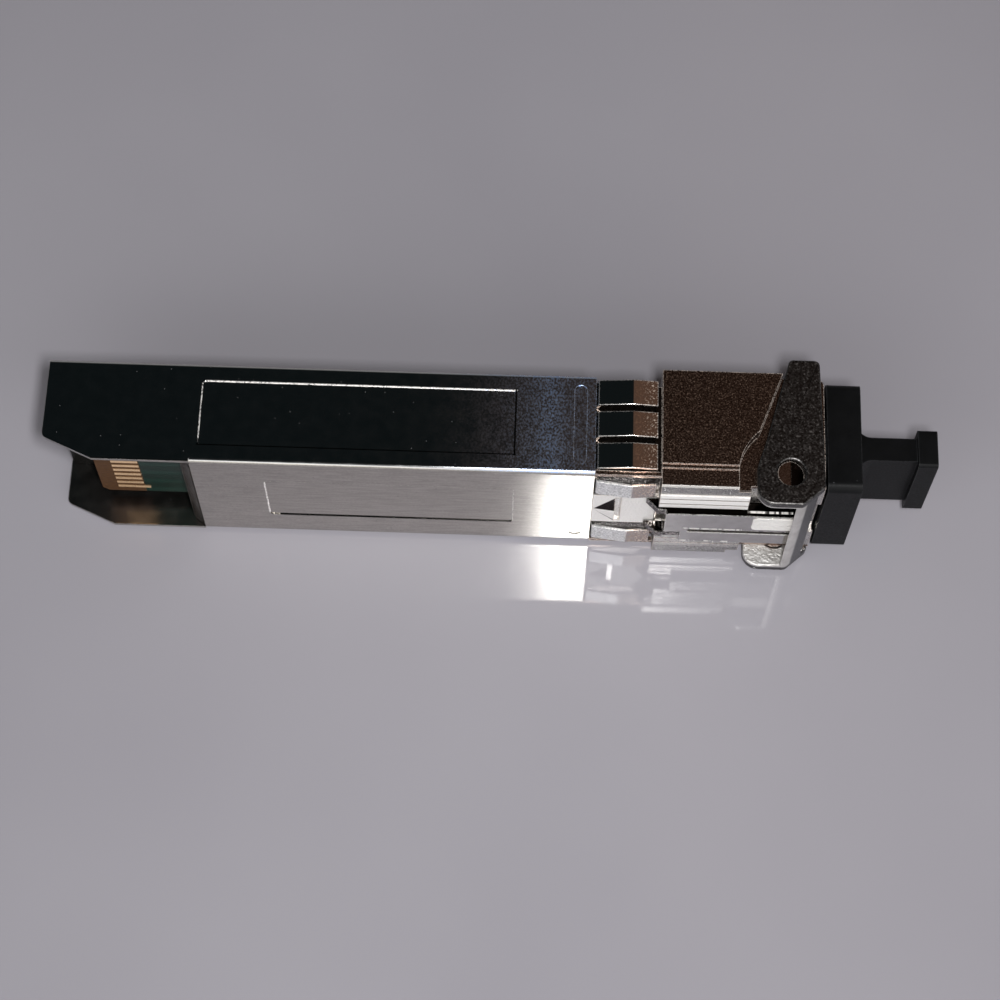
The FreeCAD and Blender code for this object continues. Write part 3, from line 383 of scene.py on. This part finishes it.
def spring_sheet():
    """Plated spring fingers: mirrors with rubbed, glinting tips in a copper tint that is partly a
    painted warm reflection, satin on the latch side.
    """
    material, tree, shader, place = new_material("spring_sheet_finish")
    along, up, _ = axis_lengths(tree, place)
    mottle = noise(tree, place, 3500.0, 4.0, 0.65)
    grain = noise(tree, place, 7000.0, 3.0)
    rubbed = every(tree, fade(tree, along, 0.9, 1.5), levels(tree, mottle, 0.35, 0.6, 0.2, 1.0))
    glint = every(tree, levels(tree, grain, 0.55, 0.64), rubbed, fade(tree, along, 1.4, 2.8))
    latch_side = every(tree, fade(tree, up, -4.2, -4.3), fade(tree, along, 1.3, 1.0))
    wear = edge_wear(tree, 0.17, grain)
    # Copper tint of the rubbed tips: partly copper showing, partly a painted warm reflection
    coppers = [(0.38, (0.56, 0.43, 0.35)), (0.55, (0.72, 0.59, 0.5)), (0.66, (1.0, 0.84, 0.7))]
    coppery_painted_reflection = ramp(tree, grain, coppers)
    matt = ramp(tree, grain, [(0.4, grey(0.6)), (0.6, grey(0.95))])
    plate = (0.58, 0.565, 0.55)
    colour = layered(tree, plate, (rubbed, coppery_painted_reflection), (latch_side, matt), (wear, EDGE_METAL))
    satin = larger(tree, wear, latch_side)
    roughness = lifted(tree, 0.12, (satin, 0.38), (glint, 0.35), (rubbed, 0.1))
    tip = bump(tree, every(tree, grain, rubbed), 0.004)
    normal = bump(tree, grain, 0.0012, tip)
    metallic = lifted(tree, 1.0, (latch_side, -0.1))
    finish_shader(tree, shader, colour, metallic, roughness, normal)
    return material


def stub_pivots(tree, along, up, wide):
    """Mask and colour of the stub pivots in the nose's side pockets: painted light on their rear half,
    painted shade on their front half.
    """
    off_along = math_node(tree, "SUBTRACT", along, PIVOT_ALONG * MM)
    off_up = math_node(tree, "SUBTRACT", up, PIVOT_UP * MM)
    square = lifted(tree, every(tree, off_along, off_along), (off_up, off_up))
    off_axis = math_node(tree, "SQRT", square)
    mask = every(tree, fade(tree, off_axis, 1.1, 1.06), fade(tree, wide, 5.92, 5.96))
    # Painted light on the rear half, painted shade on the front half
    tone = blend(tree, fade(tree, off_along, -0.1, 0.0), (0.2, 0.13, 0.1), (0.02, 0.013, 0.011))
    return mask, tone


def boss_flanks(tree, along, up, wide):
    """Flanks of the boss's wedge, outside the lines from its tip to its crest corners."""
    crest_half = math_node(tree, "MULTIPLY_ADD", along, 0.48, 0.86 * MM)
    flank = fade(tree, math_node(tree, "SUBTRACT", wide, crest_half), 0.0, 0.04)
    on_boss = every(tree, fade(tree, up, -4.27, -4.3), fade(tree, along, 0.03, 0.0))
    return every(tree, flank, on_boss)


def cast_nose():
    """Plated casting with a sparkling skin, dark on its sides; painted shade on its neck, tray, boss
    flanks and rail grooves, painted light and shade on its pivots, a painted highlight on its near rail.
    """
    material, tree, shader, place = new_material("cast_nose_finish")
    along, up, across = axis_lengths(tree, place)
    wide = size_of(tree, across)
    high = size_of(tree, up)
    patches = noise(tree, place, 700.0, 3.0)
    grain = noise(tree, place, 8500.0, 3.0, 0.6)
    wear = edge_wear(tree, 0.12, grain)
    bright = ramp(tree, patches, [(0.3, (0.52, 0.5, 0.48)), (0.7, (0.63, 0.61, 0.59))])
    stains = [(0.4, (0.095, 0.062, 0.048)), (0.57, (0.19, 0.132, 0.104)), (0.68, (0.58, 0.43, 0.34))]
    stained = ramp(tree, grain, stains)
    sides = every(tree, fade(tree, wide, 5.5, 5.6), fade(tree, up, -4.86, -4.8))
    pivot, pivot_painted_light_and_shade = stub_pivots(tree, along, up, wide)
    # Painted shade on the neck between the fingers and on the tray inside the shell, darkest at the
    # tray's end in the rear mouth
    sunk = every(tree, fade(tree, high, 3.95, 3.8), fade(tree, wide, 6.4, 6.25))
    neck = every(tree, sunk, fade(tree, along, 3.39, 3.37))
    tray_end_painted_shade = fade(tree, along, -30.0, -31.0)
    flanks = boss_flanks(tree, along, up, wide)
    # Latch side: a strip beside the rail lands, the rail lands with their groove lines in painted shade,
    # a painted highlight on the near rail only, and the boss's pad
    latch_side = fade(tree, up, -4.9, -4.95)
    strip = every(tree, latch_side, fade(tree, wide, 5.15, 5.25))
    rail_land = every(tree, latch_side, fade(tree, wide, 5.2, 5.1))
    grooves_painted_shade = every(tree, rail_land, fade(tree, up, -5.14, -5.1), fade(tree, wide, 4.6, 4.5))
    near_rail_painted_highlight = every(tree, rail_land, fade(tree, across, 0.0, 0.1), fade(tree, up, -5.1, -5.14))
    low = every(tree, fade(tree, up, -4.1, -4.2), fade(tree, wide, 2.75, 2.65))
    pad = every(tree, low, fade(tree, along, 3.3, 3.2), inverse(tree, flanks))
    # The near rail's painted highlight together with the boss's pad
    bare = larger(tree, near_rail_painted_highlight, pad)
    colour = layered(
        tree,
        bright,
        (sides, stained),
        # Painted light and painted shade on the stub pivots
        (pivot, pivot_painted_light_and_shade),
        # Painted shade on the neck and the tray
        (neck, (0.05, 0.04, 0.034)),
        # Painted shade on the boss's flanks
        (flanks, (0.012, 0.008, 0.007)),
        (strip, (0.36, 0.35, 0.34)),
        # Painted shade in the groove lines beside the rail lands
        (grooves_painted_shade, (0.02, 0.015, 0.013)),
        # Near white: a painted highlight on the near rail, and the boss's bare pad
        (bare, (0.9, 0.88, 0.86)),
        (wear, (0.8, 0.72, 0.66)),
        # Painted shade at the tray's end in the rear mouth
        (tray_end_painted_shade, grey(0.003)),
    )
    skin = levels(tree, grain, 0.3, 0.7, 0.2, 0.4)
    roughness = lifted(tree, skin, (larger(tree, bare, wear), 0.4))
    lumps = bump(tree, noise(tree, place, 1500.0, 2.0), 0.005)
    crumbs = every(tree, noise(tree, place, 4200.0, 2.0), bare)
    coarse = bump(tree, crumbs, 0.07, lumps)
    normal = bump(tree, grain, 0.009, coarse)
    metallic = lifted(tree, 1.0, (near_rail_painted_highlight, -0.6), (pad, -0.25))
    finish_shader(tree, shader, colour, metallic, roughness, normal)
    return material


def cast_bail():
    """Dark tumbled casting with a fine speckle; the inner faces of its arms are rough, with painted
    light in their bright colour.
    """
    material, tree, shader, place = new_material("cast_bail_finish")
    along, _, across = axis_lengths(tree, place)
    grain = noise(tree, place, 6500.0, 3.0, 0.6)
    patches = noise(tree, place, 800.0, 2.0)
    wear = every(tree, edge_wear(tree, 0.14, grain), 0.6)
    tumbled = [(0.42, (0.06, 0.057, 0.056)), (0.6, (0.12, 0.114, 0.112)), (0.7, (0.36, 0.345, 0.335))]
    skin = ramp(tree, grain, tumbled)
    inner_painted_light = ramp(tree, patches, [(0.3, (0.6, 0.58, 0.56)), (0.7, (0.76, 0.74, 0.72))])
    between = fade(tree, size_of(tree, across), 6.3, 6.1)
    inner = every(tree, between, fade(tree, along, 14.8, 14.6))
    bar_tone = (0.13, 0.128, 0.13)
    # Painted light: bright colour on the inner faces of the arms
    colour = layered(tree, skin, (between, bar_tone), (wear, (0.6, 0.57, 0.55)), (inner, inner_painted_light))
    roughness = lifted(tree, levels(tree, grain, 0.3, 0.7, 0.24, 0.44), (inner, 0.2))
    lumps = bump(tree, noise(tree, place, 1800.0, 2.0), 0.004)
    crumbs = every(tree, noise(tree, place, 3600.0, 2.0), inner)
    coarse = bump(tree, crumbs, 0.09, lumps)
    normal = bump(tree, grain, 0.007, coarse)
    finish_shader(tree, shader, colour, 1.0, roughness, normal)
    return material


def slide_burrs(tree, place, sides):
    """Rows of burr beads on the slide: at its groove's lip, its lower edge and its side."""
    along, up, across = axis_lengths(tree, place)
    beads = levels(tree, drawn_noise(tree, place, (2800.0, 1.0, 1.0), 1.0), 0.4, 0.5, 0.1, 1.0)
    sparse = levels(tree, drawn_noise(tree, place, (1500.0, 1.0, 1.0), 1.0), 0.5, 0.58)
    outer = fade(tree, up, -5.6, -5.66)
    lip = every(tree, near(tree, across, -0.06, 0.12), within(tree, along, 5.5, 10.2), outer, beads)
    edge = every(tree, near(tree, across, -2.55, 0.14), within(tree, along, 4.7, 10.2), outer, sparse)
    side = every(tree, near(tree, up, -5.3, 0.1), within(tree, along, 10.4, 14.0), sides, beads)
    return larger(tree, lip, edge, side)


def slide_plating():
    """Bright plated slide with soft die marks, rough and sparkling on its grip pad and burrs; a painted
    highlight on its grip pad and painted shade on its side walls.
    """
    material, tree, shader, place = new_material("slide_finish")
    _, up, across = axis_lengths(tree, place)
    grip = fade(tree, up, -5.73, -5.76)
    sides = fade(tree, size_of(tree, across), 2.66, 2.69)
    recess = every(tree, fade(tree, up, -5.5, -5.4), within(tree, across, -2.66, 2.66))
    mottle = noise(tree, place, 1200.0, 4.0, 0.6)
    grain = noise(tree, place, 5200.0, 3.0, 0.6)
    burr = slide_burrs(tree, place, sides)
    wear = larger(tree, edge_wear(tree, 0.12, grain), burr)
    plate = ramp(tree, mottle, [(0.3, (0.52, 0.505, 0.49)), (0.7, (0.62, 0.605, 0.59))])
    speckled = ramp(tree, grain, [(0.5, (0.02, 0.015, 0.013)), (0.62, (0.6, 0.55, 0.52))])
    colour = layered(
        tree,
        plate,
        # Grip pad: rough, and its near-white colour is partly a painted highlight
        (grip, (0.88, 0.86, 0.83)),
        # Painted shade: the slide's side walls near black
        (sides, (0.0016, 0.0013, 0.0011)),
        (recess, speckled),
        (wear, EDGE_METAL),
    )
    smooth = levels(tree, mottle, 0.3, 0.7, 0.14, 0.22)
    roughness = lifted(tree, smooth, (larger(tree, grip, every(tree, wear, 0.7)), 0.5))
    rough_spots = larger(tree, grip, burr)
    crumbs = every(tree, noise(tree, place, 3200.0, 2.0), rough_spots)
    normal = bump(tree, crumbs, 0.16, bump(tree, grain, 0.002))
    metallic = lifted(tree, 1.0, (rough_spots, -0.5))
    finish_shader(tree, shader, colour, metallic, roughness, normal)
    return material


def black_plug():
    """Black moulded elastomer: fine matt grain, grey dust in places and faintly rubbed edges."""
    material, tree, shader, place = new_material("black_plug_finish")
    grain = noise(tree, place, 7000.0, 3.0, 0.6)
    cloud = noise(tree, place, 500.0, 3.0)
    skin = ramp(tree, cloud, [(0.3, (0.0028, 0.003, 0.0033)), (0.7, (0.005, 0.0052, 0.0057))])
    dust = specks(tree, place, 2200.0, 0.14, 0.04)
    wear = every(tree, edge_wear(tree, 0.16, grain), 0.5)
    colour = layered(tree, skin, (dust, (0.05, 0.05, 0.053)), (wear, (0.045, 0.046, 0.049)))
    roughness = levels(tree, grain, 0.3, 0.7, 0.36, 0.52)
    shader.inputs["Specular IOR Level"].default_value = 0.12
    finish_shader(tree, shader, colour, 0.0, roughness, bump(tree, grain, 0.005))
    return material


def green_board():
    """Solder mask over buried tracks, with bare laminate round the contact pads."""
    material, tree, shader, place = new_material("green_board_finish")
    along = axis_lengths(tree, place)[0]
    cloud = noise(tree, place, 700.0, 3.0)
    weave = drawn_noise(tree, place, (2500.0, 2500.0, 9000.0), 2.0)
    wave = {"Vector": place, "Scale": 190.0, "Distortion": 0.4}
    tracks = add_node(tree, "ShaderNodeTexWave", wave, bands_direction="Z")
    copper = levels(tree, tracks.outputs["Fac"], 0.55, 0.7, 0.0, 0.55)
    mask = ramp(tree, cloud, [(0.3, (0.0018, 0.012, 0.008)), (0.7, (0.003, 0.017, 0.012))])
    mask = blend(tree, copper, mask, (0.005, 0.028, 0.02))
    laminate = ramp(tree, weave, [(0.3, (0.045, 0.018, 0.005)), (0.7, (0.09, 0.04, 0.013))])
    masked = fade(tree, along, -38.3, -38.2)
    colour = blend(tree, masked, laminate, mask)
    roughness = lifted(tree, 0.5, (masked, -0.25))
    normal = bump(tree, copper, 0.01, bump(tree, weave, 0.003))
    shader.inputs["Specular IOR Level"].default_value = 0.2
    finish_shader(tree, shader, colour, 0.0, roughness, normal)
    return material


def gold_contacts():
    """Hard gold plating with fine scratches, wiped bright along the middle of each pad."""
    material, tree, shader, place = new_material("gold_contact_finish")
    across = axis_lengths(tree, place)[2]
    scratches = drawn_noise(tree, place, (600.0, 600.0, 14000.0), 3.0)
    worn = ramp(tree, scratches, [(0.3, (0.95, 0.62, 0.35)), (0.7, (1.0, 0.72, 0.44))])
    turn = math_node(tree, "FRACT", math_node(tree, "DIVIDE", across, CONTACT_PITCH * MM))
    from_middle = size_of(tree, math_node(tree, "SUBTRACT", turn, 0.5))
    wiped = levels(tree, from_middle, 0.2, 0.3, 1.0, 0.0)
    tarnish = (0.3, 0.14, 0.06)
    colour = blend(tree, wiped, tarnish, worn)
    metallic = levels(tree, wiped, 0.0, 1.0, 1.0, 0.7)
    roughness = levels(tree, scratches, 0.3, 0.7, 0.22, 0.4)
    finish_shader(tree, shader, colour, metallic, roughness, bump(tree, scratches, 0.002))
    return material


def inner_finish(name, colour, metallic, roughness, grain_scale, grain_mm):
    """Finish of a piece inside the shell: soft mottle and a grain of its own scale."""
    material, tree, shader, place = new_material(name)
    grain = noise(tree, place, grain_scale, 3.0)
    dark = [part * 0.75 for part in colour]
    tint = ramp(tree, grain, [(0.3, dark), (0.7, colour)])
    shine = levels(tree, grain, 0.3, 0.7, roughness * 0.85, roughness * 1.15)
    finish_shader(tree, shader, tint, metallic, shine, bump(tree, grain, grain_mm))
    return material


def copied_shape(name, mesh_name):
    """Welded copy of a CAD node's mesh, opened for editing."""
    mesh = nodes[name].data.copy()
    mesh.name = mesh_name
    shape = bmesh.new()
    shape.from_mesh(mesh)
    bmesh.ops.remove_doubles(shape, verts=shape.verts, dist=WELD_REACH * MM)
    return mesh, shape


def add_piece(name, mesh, shape):
    """Write an edited shape back to its mesh and put it in the scene."""
    shape.to_mesh(mesh)
    shape.free()
    piece = bpy.data.objects.new(name, mesh)
    bpy.context.scene.collection.objects.link(piece)
    return piece


def break_edges(name, width_mm):
    """Put a copy with rounded edges in a CAD node's place, so that its edges catch the light."""
    mesh, shape = copied_shape(name, f"{name}_dressed")
    bmesh.ops.dissolve_limit(shape, angle_limit=FLAT_ANGLE, verts=shape.verts, edges=shape.edges)
    for face in shape.faces:
        face.smooth = True
    piece = add_piece(f"{name}_dressed", mesh, shape)
    mesh.set_sharp_from_angle(angle=EDGE_ANGLE)
    edge = piece.modifiers.new("broken_edges", "BEVEL")
    edge.width = width_mm * MM
    edge.segments = BREAK_STEPS
    edge.limit_method = "ANGLE"
    edge.angle_limit = EDGE_ANGLE
    flats = piece.modifiers.new("even_flats", "WEIGHTED_NORMAL")
    flats.keep_sharp = True
    flats.weight = FLAT_WEIGHT
    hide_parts(name)
    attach(piece, BODY_OF[name])


def bend_spring():
    """Put a welded copy of the return spring in its CAD node's place, with its placement baked into the
    mesh.
    """
    mesh, shape = copied_shape("return_spring", "return_spring_bent")
    piece = add_piece("return_spring_bent", mesh, shape)
    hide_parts("return_spring")
    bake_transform(piece)


def make_camera():
    """Camera at the photograph's place."""
    data = bpy.data.cameras.new("camera")
    data.lens = CAMERA_LENS
    data.sensor_width = CAMERA_SENSOR
    data.clip_start = CAMERA_NEAR_LIMIT
    camera = bpy.data.objects.new("camera", data)
    turn = Matrix.Rotation(math.radians(-CAMERA_YAW), 4, "Z")
    tilt = Matrix.Rotation(math.radians(90 - CAMERA_ELEVATION), 4, "X")
    roll = Matrix.Rotation(math.radians(-CAMERA_ROLL), 4, "Z")
    camera.matrix_world = Matrix.Translation(CAMERA_SPOT) @ turn @ tilt @ roll
    bpy.context.scene.collection.objects.link(camera)
    bpy.context.scene.camera = camera


def make_floor():
    """Pale glossy table under the part."""
    material, tree, shader, place = new_material("table_finish")
    cloud = noise(tree, place, 25.0, 3.0)
    colour = ramp(tree, cloud, [(0.3, (0.355, 0.34, 0.375)), (0.7, (0.385, 0.37, 0.405))])
    ripple = bump(tree, noise(tree, place, 300.0, 2.0), 0.002)
    finish_shader(tree, shader, colour, 0.0, 0.06, ripple)
    half = TABLE_HALF
    level = cad_box[0][2] - TABLE_GAP * MM
    corners = [(-half, -half, level), (half, -half, level), (half, half, level), (-half, half, level)]
    mesh = bpy.data.meshes.new("table")
    mesh.from_pydata(corners, [], [(0, 1, 2, 3)])
    mesh.materials.append(material)
    table = bpy.data.objects.new("table", mesh)
    bpy.context.scene.collection.objects.link(table)


def make_light():
    """Rectangular lamp beside the camera that looks at the origin."""
    data = bpy.data.lights.new("camera_lamp", "AREA")
    data.shape = "RECTANGLE"
    data.size, data.size_y = LAMP_SIZE
    data.energy = LAMP_POWER
    lamp = bpy.data.objects.new("camera_lamp", data)
    aim = -Vector(LAMP_SPOT)
    turn = aim.to_track_quat("-Z", "Y").to_matrix().to_4x4()
    lamp.matrix_world = Matrix.Translation(LAMP_SPOT) @ turn
    bpy.context.scene.collection.objects.link(lamp)


def make_world():
    """Room: bright in front, pale at the horizon, dark overhead, a brown wall behind on the right."""
    world = bpy.data.worlds.new("room")
    bpy.context.scene.world = world
    world.use_nodes = True
    tree = world.node_tree
    background = tree.nodes["Background"]
    place = add_node(tree, "ShaderNodeTexCoord").outputs["Generated"]
    right, back, height = axis_lengths(tree, place)
    horizon = grey(0.3)
    overhead = (0.0065, 0.0095, 0.0105)
    sky = ramp(tree, height, [(0.0, horizon), (0.3, horizon), (0.7, overhead), (1.0, overhead)])
    behind = every(tree, levels(tree, right, 0.035, 0.07), levels(tree, back, 0.1, 0.25))
    wall = every(tree, behind, levels(tree, height, 0.55, 0.7))
    band = every(tree, levels(tree, height, 0.8, 0.7), levels(tree, height, 0.06, 0.14))
    in_front = every(tree, levels(tree, back, -0.3, -0.5), band)
    colour = layered(tree, sky, (wall, (0.115, 0.07, 0.05)), (in_front, grey(1.6)))
    tree.links.new(colour, background.inputs["Color"])
    background.inputs["Strength"].default_value = 1.0


chip_package = inner_finish("chip_package_finish", (0.022, 0.022, 0.024), 0.0, 0.5, 9000.0, 0.004)
turned_steel = inner_finish("turned_steel_finish", (0.62, 0.61, 0.6), 1.0, 0.22, 4000.0, 0.001)
white_ceramic = inner_finish("white_ceramic_finish", (0.82, 0.81, 0.78), 0.0, 0.3, 3000.0, 0.001)
gilt_can = inner_finish("gilt_can_finish", (0.86, 0.62, 0.32), 1.0, 0.28, 4000.0, 0.001)
amber_flex = inner_finish("amber_flex_finish", (0.5, 0.24, 0.05), 0.0, 0.35, 2500.0, 0.002)
FINISHES = {
    "sleeve": nickel_sheet(),
    "emi_collar": spring_sheet(),
    "nose_housing": cast_nose(),
    "bail": cast_bail(),
    "latch_slider": slide_plating(),
    "return_spring": inner_finish("spring_strip_finish", (0.6, 0.59, 0.57), 1.0, 0.26, 3000.0, 0.001),
    "dust_plug": black_plug(),
    "circuit_board": green_board(),
    "edge_contacts": gold_contacts(),
    "driver_chip": chip_package,
    "controller_chip": chip_package,
    "thermal_pad": inner_finish("soft_pad_finish", (0.42, 0.44, 0.46), 0.0, 0.8, 3000.0, 0.01),
    "board_capacitors": inner_finish("capacitor_finish", (0.4, 0.3, 0.2), 0.0, 0.45, 6000.0, 0.003),
    "board_screws": inner_finish("small_screw_finish", (0.58, 0.57, 0.55), 1.0, 0.3, 4000.0, 0.002),
    "tosa_receptacle": turned_steel,
    "rosa_receptacle": turned_steel,
    "tosa_split_sleeve": white_ceramic,
    "rosa_split_sleeve": white_ceramic,
    "tosa_can": gilt_can,
    "rosa_can": gilt_can,
    "tosa_flex": amber_flex,
    "rosa_flex": amber_flex,
    "osa_retainer": inner_finish("retainer_finish", (0.55, 0.54, 0.52), 1.0, 0.32, 4000.0, 0.002),
}
for name, node in nodes.items():
    node.data.materials.clear()
    node.data.materials.append(FINISHES[name])
for name, width in BROKEN_EDGES.items():
    break_edges(name, width)
bend_spring()

make_camera()
make_floor()
make_world()
make_light()
bpy.context.scene.view_settings.view_transform = "Standard"
